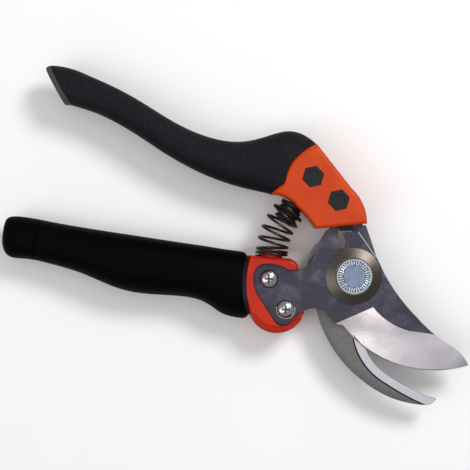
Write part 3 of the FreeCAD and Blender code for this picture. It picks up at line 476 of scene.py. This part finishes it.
def dress(piece, finish, body, *nodes, slot=None):
    """Give a modelled piece its finish, its body, and the frame nodes it stands for."""
    piece.data.materials.clear()
    piece.data.materials.append(FINISHES[finish])
    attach(piece, body)
    if nodes:
        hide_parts(*nodes)
    print(piece.name, "faces", len(piece.data.polygons))


# %% [markdown]
# A moulded grip is a skin that swells and narrows along a bent line.  A square face with its
# corners bevelled gives a rounded section; extruding it from station to station, turning and
# resizing it each time, gives the skin.  Subdivision then takes out the steps.

# %% A skin swept through stations


def turn_face(angle, centre):
    # without a window this operator turns against the sign of its value
    bpy.ops.transform.rotate(value=-angle, orient_axis="Z", center_override=centre)


def swept_skin(name, stations, corner=0.82, steps=5):
    """Stations are (centre, turn in degrees, half width in the plane, half height)."""
    centre, turn, wide, high = stations[0]
    bpy.ops.mesh.primitive_plane_add(size=2.0, location=(0, 0, 0))
    piece = new_from_primitive(name)
    bpy.ops.object.mode_set(mode="EDIT")
    bpy.ops.mesh.select_all(action="SELECT")
    bpy.ops.mesh.bevel(offset=corner, segments=steps, affect="VERTICES", clamp_overlap=True)
    bpy.ops.object.mode_set(mode="OBJECT")
    # stand the face up across the handle, then bring it to the first station
    piece.rotation_euler = (0, math.pi / 2, 0)
    settle(piece)
    piece.scale = (1, wide, high)
    piece.rotation_euler = (0, 0, math.radians(turn))
    piece.location = centre
    settle(piece)
    bpy.ops.object.mode_set(mode="EDIT")
    bpy.ops.mesh.select_all(action="SELECT")
    for step in stations[1:]:
        bpy.ops.mesh.extrude_region_move()
        turn_face(-math.radians(turn), centre)
        bpy.ops.transform.resize(value=(1, step[2] / wide, step[3] / high),
                                 center_override=centre)
        turn_face(math.radians(step[1]), centre)
        bpy.ops.transform.translate(value=Vector(step[0]) - Vector(centre))
        centre, turn, wide, high = step
    bpy.ops.object.mode_set(mode="OBJECT")
    outward(piece)
    return piece


# %% [markdown]
# The upper grip bends from the thumb hump down to a flat, cut-off end.  Where it meets the
# orange frame its edge follows an S, so the skin is swept past the joint and the frame's side
# of it is cut away with a prism.

# %% Upper grip
UPPER_GRIP = [
    (-125.05, 79.45, 28, 7.9, 5.4), (-124.9, 79.55, 28, 8.5, 6.0), (-124.0, 80.1, 24, 9.25, 7.1),
    (-120.4, 79.9, 6.5, 8.1, 7.4), (-116.6, 78.9, -10, 7.4, 7.5), (-112.3, 77.15, -19, 6.95, 7.6),
    (-107.5, 75.4, -26, 6.7, 7.7), (-101.1, 72.6, -28, 6.5, 7.8),
    (-94.4, 69.0, -30, 6.45, 7.9), (-87.7, 64.9, -32, 6.4, 8.0), (-81.0, 60.5, -32, 6.5, 8.1),
    (-74.3, 56.4, -29, 6.8, 8.3), (-67.5, 53.0, -25, 7.2, 8.5), (-60.8, 50.2, -20, 7.8, 8.7),
    (-54.6, 48.3, -13, 8.4, 8.8), (-49.0, 47.1, -8, 9.2, 8.9), (-43.5, 46.6, -4, 10.2, 9.0),
    (-38.0, 46.7, -2, 11.5, 9.0), (-33.5, 47.0, -3, 12.8, 9.0), (-29.5, 47.0, -7, 14.2, 9.0),
    (-25.8, 46.0, -13, 14.9, 9.0), (-22.9, 43.6, -27, 14.7, 9.0), (-20.8, 41.0, -40, 14.0, 9.0),
]


def metres(stations):
    return [((x * MM, y * MM, 0.0), turn, wide * MM, high * MM)
            for x, y, turn, wide, high in stations]


def prism(name, outline, low, high):
    """An upright prism over an outline."""
    mesh = bpy.data.meshes.new(name)
    mesh.from_pydata([(x * MM, y * MM, low) for x, y in outline], [], [range(len(outline))])
    piece = bpy.data.objects.new(name, mesh)
    bpy.context.collection.objects.link(piece)
    choose(piece)
    bpy.ops.object.mode_set(mode="EDIT")
    bpy.ops.mesh.select_all(action="SELECT")
    bpy.ops.mesh.extrude_region_move(TRANSFORM_OT_translate={"value": (0, 0, high - low)})
    bpy.ops.object.mode_set(mode="OBJECT")
    outward(piece)
    return piece


def arc_points(start, middle, end, count=10):
    """Points along the circle through three points, without the start."""
    ax, ay = start
    bx, by = middle
    cx, cy = end
    d = 2 * (ax * (by - cy) + bx * (cy - ay) + cx * (ay - by))
    sa, sb, sc = ax * ax + ay * ay, bx * bx + by * by, cx * cx + cy * cy
    ox = (sa * (by - cy) + sb * (cy - ay) + sc * (ay - by)) / d
    oy = (sa * (cx - bx) + sb * (ax - cx) + sc * (bx - ax)) / d
    first, mid, last = (math.atan2(y - oy, x - ox) for x, y in (start, middle, end))
    sweep = (last - first) % (2 * math.pi)
    if (mid - first) % (2 * math.pi) > sweep:
        sweep -= 2 * math.pi
    reach = math.hypot(ax - ox, ay - oy)
    return [(ox + reach * math.cos(first + sweep * k / count),
             oy + reach * math.sin(first + sweep * k / count)) for k in range(1, count + 1)]


joint = [(-15.3, 54.9)]
joint += arc_points((-15.3, 54.9), (-21.5, 51.6), (-25.8, 47.8))
joint += arc_points((-25.8, 47.8), (-27.7, 43.3), (-28.5, 39.2))
joint += arc_points((-28.5, 39.2), (-30.8, 36.7), (-34.8, 34.3))
joint += [(-34.8, 5.0), (40.0, 5.0), (40.0, 80.0), (-13.0, 80.0)]
upper_grip = swept_skin("upper_grip_skin", metres(UPPER_GRIP))
apply_modifier(upper_grip, "SUBSURF", levels=2, render_levels=2)
carve(upper_grip, prism("frame_side", joint, -30 * MM, 30 * MM))
outward(upper_grip)
smooth(upper_grip, 35)
dress(upper_grip, "charcoal", "upper_lever", "upper_grip", slot="charcoal_grip")

# %% [markdown]
# The lower grip turns on its spindle.  It flares into a finger guard by the hub, where it is
# hollowed to a ball so that the same gap stays open however far it turns.

# %% Turning grip and its end cap
SPINDLE_ANGLE = math.radians(180 - 8.4)
DOME = Vector((-12.1 * MM, -3.4 * MM, -3.5 * MM))
ALONG = Vector((math.cos(SPINDLE_ANGLE), math.sin(SPINDLE_ANGLE), 0))
ACROSS = Vector((math.sin(SPINDLE_ANGLE), -math.cos(SPINDLE_ANGLE), 0))
DOME_RADIUS = 34.6 * MM
RIM_ROUND = 2.4 * MM
RIM_DRAW = 1.5 * MM
BORE_EDGE = 7 * MM
CAP_START = 122.0 * MM
TURNING_GRIP = [
    (26.0, -5.4, 14.0, 10.9), (34.0, -5.5, 14.0, 11.0), (38.5, -5.4, 13.9, 11.0),
    (42.0, -4.9, 13.3, 11.0), (45.5, -3.9, 12.3, 11.0),
    (50.0, -2.9, 11.4, 11.0), (56.0, -2.6, 11.1, 11.2),
    (64.0, -2.9, 11.4, 11.4), (72.0, -3.3, 11.8, 11.5), (80.0, -3.4, 12.0, 11.5),
    (88.0, -2.8, 11.4, 11.3), (95.0, -1.8, 10.4, 10.8), (102.0, -0.8, 9.5, 10.1),
    (109.0, -0.2, 9.0, 9.5), (116.0, 0.3, 8.7, 9.0), (122.0, 0.8, 8.6, 8.7),
    (127.0, 0.8, 8.7, 8.6), (131.2, 0.5, 9.0, 8.4), (133.8, 0.7, 8.4, 7.7), (135.6, 1.4, 7.1, 6.4),
    (136.9, 2.2, 4.6, 4.2),
]


def along_spindle(distance_mm, across_mm=0.0):
    return DOME + ALONG * (distance_mm * MM) + ACROSS * (across_mm * MM)


def spindle_tool(name, start_mm, end_mm, radius_mm):
    middle = along_spindle((start_mm + end_mm) / 2)
    bpy.ops.mesh.primitive_cylinder_add(
        vertices=64, radius=radius_mm * MM, depth=(end_mm - start_mm) * MM,
        location=middle, rotation=(0, math.pi / 2, SPINDLE_ANGLE))
    tool = new_from_primitive(name)
    settle(tool)
    return tool


def turning_skin(name):
    turn = math.degrees(SPINDLE_ANGLE)
    stations = [(tuple(along_spindle(d, off)), turn, wide * MM, high * MM)
                for d, off, wide, high in TURNING_GRIP]
    piece = swept_skin(name, stations)
    apply_modifier(piece, "SUBSURF", levels=2, render_levels=2)
    return piece


turning_grip = turning_skin("turning_grip_skin")
bpy.ops.mesh.primitive_uv_sphere_add(segments=128, ring_count=64, radius=DOME_RADIUS, location=DOME)
rim_ball = new_from_primitive("rim_ball")
settle(rim_ball)
carve(turning_grip, rim_ball)
carve(turning_grip, spindle_tool("beyond_cap", CAP_START / MM, 170.0, 30.0))
carve(turning_grip, spindle_tool("core_room", 20.0, 160.0, 6.0))
# the rim by the hub is rounded: everything near the ball draws in towards the spindle
for vertex in turning_grip.data.vertices:
    beyond = (vertex.co - DOME).length - DOME_RADIUS
    out = (vertex.co - DOME) - ALONG * (vertex.co - DOME).dot(ALONG)
    if beyond < RIM_ROUND and out.length > BORE_EDGE:
        vertex.co -= out.normalized() * RIM_DRAW * (1 - beyond / RIM_ROUND) ** 2
outward(turning_grip)
smooth(turning_grip, 40)
dress(turning_grip, "black_painted_rim_highlight", "turning_grip", "turning_grip", slot="black_grip")

end_cap = turning_skin("grip_end_cap_skin")
carve(end_cap, spindle_tool("before_cap", 0.0, CAP_START / MM + 0.25, 40.0))
apply_modifier(end_cap, "BEVEL", width=0.4 * MM, segments=3, limit_method="ANGLE",
               angle_limit=math.radians(50))
smooth(end_cap, 40)
dress(end_cap, "soft_black", "turning_grip", "grip_end_cap", slot="black_grip")

# %% [markdown]
# The spring stands on the hub's peg and wraps the buffer at the top, so its axis bends.  Its
# turns are a loop around that bent line, close together at both ends where the wire is closed.

# %% Return spring
WIRE = 1.15 * MM
COIL_RADIUS = 6.4 * MM
SPRING_FOOT = Vector((-34.2, 8.3, 0)) * MM
SPRING_BEND = Vector((-34.0, 19.0, 0)) * MM
SPRING_TOP = Vector((-26.4, 27.6, 0)) * MM
TURNS = 6.8
# turns made so far, and the share of the length climbed: the ends are closed
CLIMB = [(0.0, 0.0), (2.1, 0.14), (6.3, 0.96), (TURNS, 1.0)]


def spring_line(share):
    """A point on the spring's bent axis and the direction there."""
    rest = 1 - share
    place = SPRING_FOOT * rest ** 2 + SPRING_BEND * (2 * rest * share) + SPRING_TOP * share ** 2
    heading = (SPRING_BEND - SPRING_FOOT) * rest + (SPRING_TOP - SPRING_BEND) * share
    return place, heading.normalized()


def coil_height(turn):
    """Share of the length climbed after so many turns."""
    for (start, low), (end, high) in zip(CLIMB, CLIMB[1:]):
        if turn <= end:
            return low + (high - low) * (turn - start) / (end - start)
    return 1.0


curve = bpy.data.curves.new("return_spring_wire", "CURVE")
curve.dimensions = "3D"
curve.bevel_depth = WIRE / 2
curve.bevel_resolution = 4
curve.use_fill_caps = True
spline = curve.splines.new("NURBS")
STEPS_PER_TURN = 28
count = int(TURNS * STEPS_PER_TURN)
spline.points.add(count)
for number in range(count + 1):
    turn = number / STEPS_PER_TURN
    place, heading = spring_line(coil_height(turn))
    side = Vector((heading.y, -heading.x, 0))
    angle = 2 * math.pi * turn + math.pi
    point = place + COIL_RADIUS * (side * math.cos(angle) + Vector((0, 0, 1)) * math.sin(angle))
    spline.points[number].co = (*point, 1)
spline.use_endpoint_u = True
spline.order_u = 4
spring = bpy.data.objects.new("return_spring_wire", curve)
bpy.context.collection.objects.link(spring)
choose(spring)
bpy.ops.object.convert(target="MESH")
spring = bpy.context.object
outward(spring)
smooth(spring, 60)
spring.data.materials.clear()
spring.data.materials.append(FINISHES["wire"])
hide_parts("return_spring")
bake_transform(spring)
print("spring faces", len(spring.data.polygons))

# %% [markdown]
# The rubber buffer stops the handles.  It is a ribbed stud: a disc extruded band by band, with
# every other band drawn in.

# %% Spring buffer
BUFFER_TILT = math.radians(27)
BUFFER_NOSE = Vector((-28.9, 22.9, 0)) * MM
BUFFER_RADIUS = 4.95 * MM
buffer_axis = Vector((math.sin(BUFFER_TILT), math.cos(BUFFER_TILT), 0))
BUFFER_START = 0.72
# height of each step and its share of the radius
BUFFER_STEPS = [
    (0.9, 1.0), (1.7, 1.0), (1.9, 0.86), (2.6, 0.86), (2.8, 1.0), (3.7, 1.0), (3.9, 0.86),
    (4.6, 0.86), (4.8, 1.0), (5.7, 1.0), (5.9, 0.86), (6.6, 0.86), (6.8, 1.0), (8.4, 1.0),
]

bpy.ops.mesh.primitive_cylinder_add(
    vertices=48, radius=BUFFER_RADIUS * BUFFER_START, depth=0.5 * MM,
    location=(0, 0, 0.25 * MM))
buffer = new_from_primitive("ribbed_buffer")
settle(buffer)
bpy.ops.object.mode_set(mode="EDIT")
bpy.ops.mesh.select_all(action="DESELECT")
bpy.ops.object.mode_set(mode="OBJECT")
for face in buffer.data.polygons:
    face.select = face.normal.z > 0.9
bpy.ops.object.mode_set(mode="EDIT")
radius = BUFFER_RADIUS * BUFFER_START
level = 0.5
for height, share in BUFFER_STEPS:
    bpy.ops.mesh.extrude_region_move(
        TRANSFORM_OT_translate={"value": (0, 0, (height - level) * MM)})
    scale = BUFFER_RADIUS * share / radius
    bpy.ops.transform.resize(value=(scale, scale, 1), center_override=(0, 0, height * MM))
    radius = BUFFER_RADIUS * share
    level = height
bpy.ops.object.mode_set(mode="OBJECT")
apply_modifier(buffer, "BEVEL", width=0.12 * MM, segments=2, limit_method="ANGLE",
               angle_limit=math.radians(30))
buffer.rotation_euler = buffer_axis.to_track_quat("Z", "Y").to_euler()
buffer.location = BUFFER_NOSE
settle(buffer)
outward(buffer)
smooth(buffer, 35)
dress(buffer, "rubber", "upper_lever", "spring_buffer", slot="black_rubber")

# %% [markdown]
# The bolt head has a ring of short ridges, pressed in so that fingers or a key can grip it.
# Each ridge is a small block turned about the axis, and they are joined into one piece.

# %% Knurl on the bolt head
RIDGES = 36
RIDGE_REACH = 5.6 * MM
RIDGE_WIDTH = 0.46 * MM
RIDGE_HEIGHT = 0.3 * MM
# every third ridge is short
LONG_RIDGE = 1.9 * MM
SHORT_RIDGE = 1.3 * MM
ridges = []
for number in range(RIDGES):
    angle = 2 * math.pi * number / RIDGES
    length = LONG_RIDGE if number % 3 else SHORT_RIDGE
    bpy.ops.mesh.primitive_cube_add(
        size=1.0, rotation=(0, 0, angle), scale=(length, RIDGE_WIDTH, RIDGE_HEIGHT),
        location=(RIDGE_REACH * math.cos(angle), RIDGE_REACH * math.sin(angle),
                  bolt_top - 0.14 * MM))
    ridges.append(new_from_primitive(f"ridge_{number}"))
bpy.ops.object.select_all(action="DESELECT")
for ridge in ridges:
    ridge.select_set(True)
bpy.context.view_layer.objects.active = ridges[0]
bpy.ops.object.join()
knurl = new_from_primitive("bolt_head_knurl")
settle(knurl)
apply_modifier(knurl, "BEVEL", width=0.08 * MM, segments=2, limit_method="ANGLE",
               angle_limit=math.radians(30))
dress(knurl, "zinc", "upper_lever", slot="zinc")

# %% [markdown]
# The tool lies under a large soft window of light from the upper right, with a broad fill, on
# a plain pale floor.  The camera looks straight down on it.

# %% Floor, lights and camera
floor_height = cad_box[0][2] - 0.2 * MM
bpy.ops.mesh.primitive_plane_add(size=6.0, location=(0, 0, floor_height))
floor = new_from_primitive("pale_floor")
settle(floor)
floor_recipe = Recipe("pale_floor", Roughness=0.9)
floor_recipe.set("Base Color", floor_recipe.mix(floor_recipe.noise(60.0, 2.0),
                                                (0.9, 0.9, 0.9), (0.93, 0.93, 0.93)))
floor.data.materials.append(floor_recipe.material)


def area_light(name, place, aim, size, power, tint=(1, 1, 1)):
    data = bpy.data.lights.new(name, "AREA")
    data.shape = "DISK"
    data.size = size
    data.energy = power
    data.color = tint
    light = bpy.data.objects.new(name, data)
    light.location = place
    light.rotation_euler = (Vector(aim) - Vector(place)).to_track_quat("-Z", "Y").to_euler()
    bpy.context.collection.objects.link(light)


area_light("window", (-0.05, 0.05, 1.5), (-0.05, 0.02, 0), 1.4, 6.0)
area_light("key", (0.35, 0.45, 0.7), (-0.04, 0, 0), 0.3, 4.6)
area_light("fill", (-0.6, -0.2, 0.8), (-0.04, 0, 0), 0.6, 2.0)
world = bpy.data.worlds.new("studio")
world.use_nodes = True
world.node_tree.nodes["Background"].inputs[0].default_value = (1, 1, 1, 1)
world.node_tree.nodes["Background"].inputs[1].default_value = 0.3
bpy.context.scene.world = world
bpy.context.scene.view_settings.view_transform = "Standard"

FRAME_WIDTH = 197.4 * MM
CAMERA_HEIGHT = 0.62
view_centre = Vector((-49.5, 17.2, 0)) * MM
camera_data = bpy.data.cameras.new("camera")
camera_data.sensor_width = 36.0
camera_data.lens = 36.0 * CAMERA_HEIGHT / FRAME_WIDTH
camera_data.clip_start = 0.01
camera = bpy.data.objects.new("camera", camera_data)
camera.location = (view_centre.x, view_centre.y, CAMERA_HEIGHT)
camera.rotation_euler = (0, 0, 0)
bpy.context.collection.objects.link(camera)
bpy.context.scene.camera = camera
